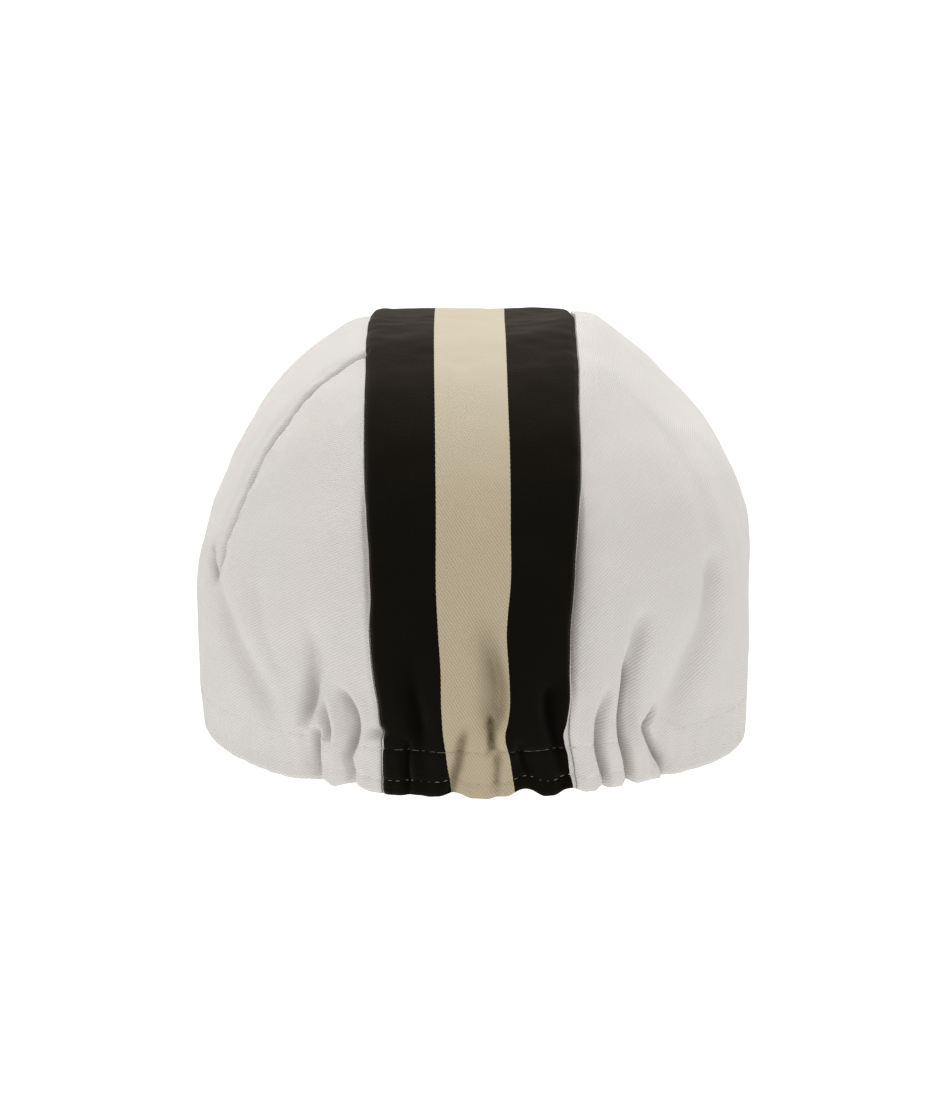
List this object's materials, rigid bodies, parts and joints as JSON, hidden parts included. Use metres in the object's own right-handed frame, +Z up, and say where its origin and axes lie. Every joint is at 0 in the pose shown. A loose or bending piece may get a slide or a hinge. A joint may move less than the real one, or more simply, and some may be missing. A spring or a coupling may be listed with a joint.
{
  "type": "cycling cap",
  "caption": "Soft cycling cap with a striped centre panel between plain side panels, a gathered elastic hem at the rear and a short curved peak.",
  "frame": {"origin": "middle of the footprint, on the plane that the rear hem and the peak's outer edge stand on", "axes": "+Z up, +Y toward the peak, +X toward the wearer's right"},
  "size_m": [0.1792, 0.2538, 0.1345],
  "materials": {
    "white_twill": "matte cotton twill",
    "printed_twill": "matte cotton twill printed with a sand stripe between black ones",
    "hem_twill": "matte cotton twill turned in over elastic",
    "peak_twill": "matte cotton twill over a stiff core"
  },
  "bodies": {
    "root": {"side_panel_left": "white_twill", "side_panel_right": "white_twill", "centre_panel": "printed_twill", "hem_band": "hem_twill", "peak": "peak_twill"}
  },
  "joints": []
}
